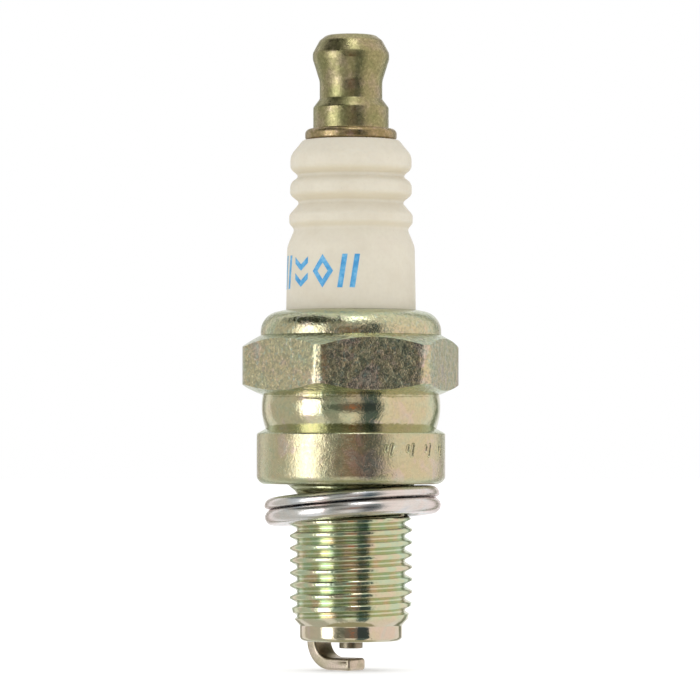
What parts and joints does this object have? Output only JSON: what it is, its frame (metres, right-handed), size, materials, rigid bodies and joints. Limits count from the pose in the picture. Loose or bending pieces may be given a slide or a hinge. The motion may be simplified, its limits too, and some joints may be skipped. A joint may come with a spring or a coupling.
{
  "type": "spark plug",
  "caption": "Compact resistor spark plug: ribbed ceramic insulator, plated steel shell with hexagon and short fine thread, loose folded gasket, solid terminal and bent ground electrode.",
  "frame": {"origin": "on the plug's axis, in the plane of the gasket seat", "axes": "+Z along the axis towards the terminal, -Y towards the viewer, +X to the viewer's right"},
  "size_m": [0.0176, 0.0172, 0.0516],
  "materials": {
    "terminal_plating": "olive-brown plated steel, fine mottled",
    "glazed_alumina": "cream-white glazed alumina",
    "printed_ink": "blue fired print under the glaze",
    "shell_plating": "zinc plated, yellow-green iridescent passivation",
    "gasket_plating": "bright plated sheet, faint pink and blue tint",
    "nickel_alloy": "drawn nickel alloy, satin",
    "copper": "plain copper",
    "seal_glass": "copper-filled glass, dark",
    "resistor_glass": "carbon-filled glass, matte black",
    "packing_steel": "plain steel wire",
    "talc": "pressed powder, matte"
  },
  "bodies": {
    "plug": {"terminal_stud": "terminal_plating", "insulator": "glazed_alumina", "shell": "shell_plating", "ground_electrode": "nickel_alloy", "center_electrode": "nickel_alloy", "center_electrode_core": "copper", "upper_glass_seal": "seal_glass", "resistor": "resistor_glass", "lower_glass_seal": "seal_glass", "seat_packing": "packing_steel", "lower_packing_ring": "packing_steel", "talc_seal": "talc", "upper_packing_ring": "packing_steel"},
    "gasket": {"gasket": "gasket_plating"}
  },
  "joints": [
    {"name": "gasket_spin", "type": "hinge", "parent": "plug", "child": "gasket", "pos_m": [0, 0, 0], "axis": [0, 0, 1], "continuous": true}
  ]
}
